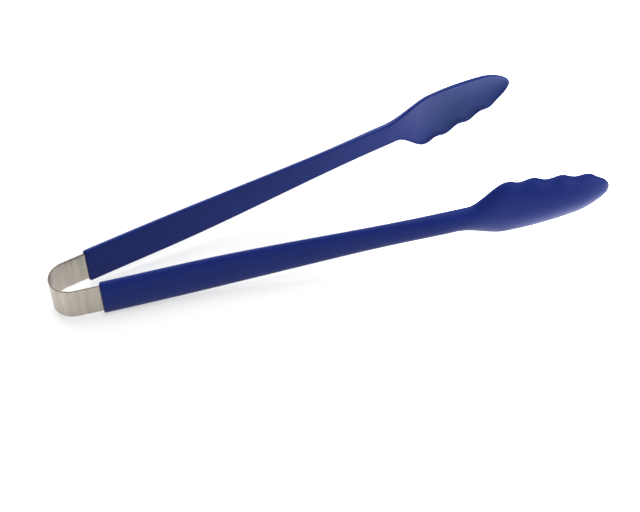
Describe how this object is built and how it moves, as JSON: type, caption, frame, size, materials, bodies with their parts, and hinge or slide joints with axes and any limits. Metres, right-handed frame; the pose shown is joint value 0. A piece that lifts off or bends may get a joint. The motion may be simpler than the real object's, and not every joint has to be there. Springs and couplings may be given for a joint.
{
  "type": "spring loaded kitchen tongs",
  "caption": "Kitchen tongs: a bent steel strip is hinge and spring for moulded arms whose scalloped spoon-shaped heads meet when the handles are squeezed.",
  "frame": {"origin": "centre of the U bend, halfway across the strip's width", "axes": "+X from the bend towards the heads, midway between the arms; +Y towards the far arm; +Z across the width of the strip, upwards when the tongs lie on their side"},
  "size_m": [0.3015, 0.1146, 0.0384],
  "materials": {
    "spring_steel": "satin brushed stainless strip, brushed across its width",
    "blue_nylon": "satin moulded nylon, dark blue"
  },
  "bodies": {
    "spring": {"spring_band": "spring_steel"},
    "near_arm": {"near_arm": "blue_nylon"},
    "far_arm": {"far_arm": "blue_nylon"}
  },
  "joints": [
    {"name": "near_arm_flex", "type": "hinge", "parent": "spring", "child": "near_arm", "pos_m": [-0.00226, -0.00906, 0], "axis": [0, 0, 1], "range_deg": [-3, 10.15], "stiffness_Nm_per_rad": 5.1, "deforming": ["spring_band"]},
    {"name": "far_arm_flex", "type": "hinge", "parent": "spring", "child": "far_arm", "pos_m": [-0.00226, 0.00906, 0], "axis": [0, 0, -1], "range_deg": [-3, 10.15], "stiffness_Nm_per_rad": 5.1, "deforming": ["spring_band"]}
  ],
  "couplings": [
    {"joint": "far_arm_flex", "follows": "near_arm_flex", "ratio": 1}
  ]
}
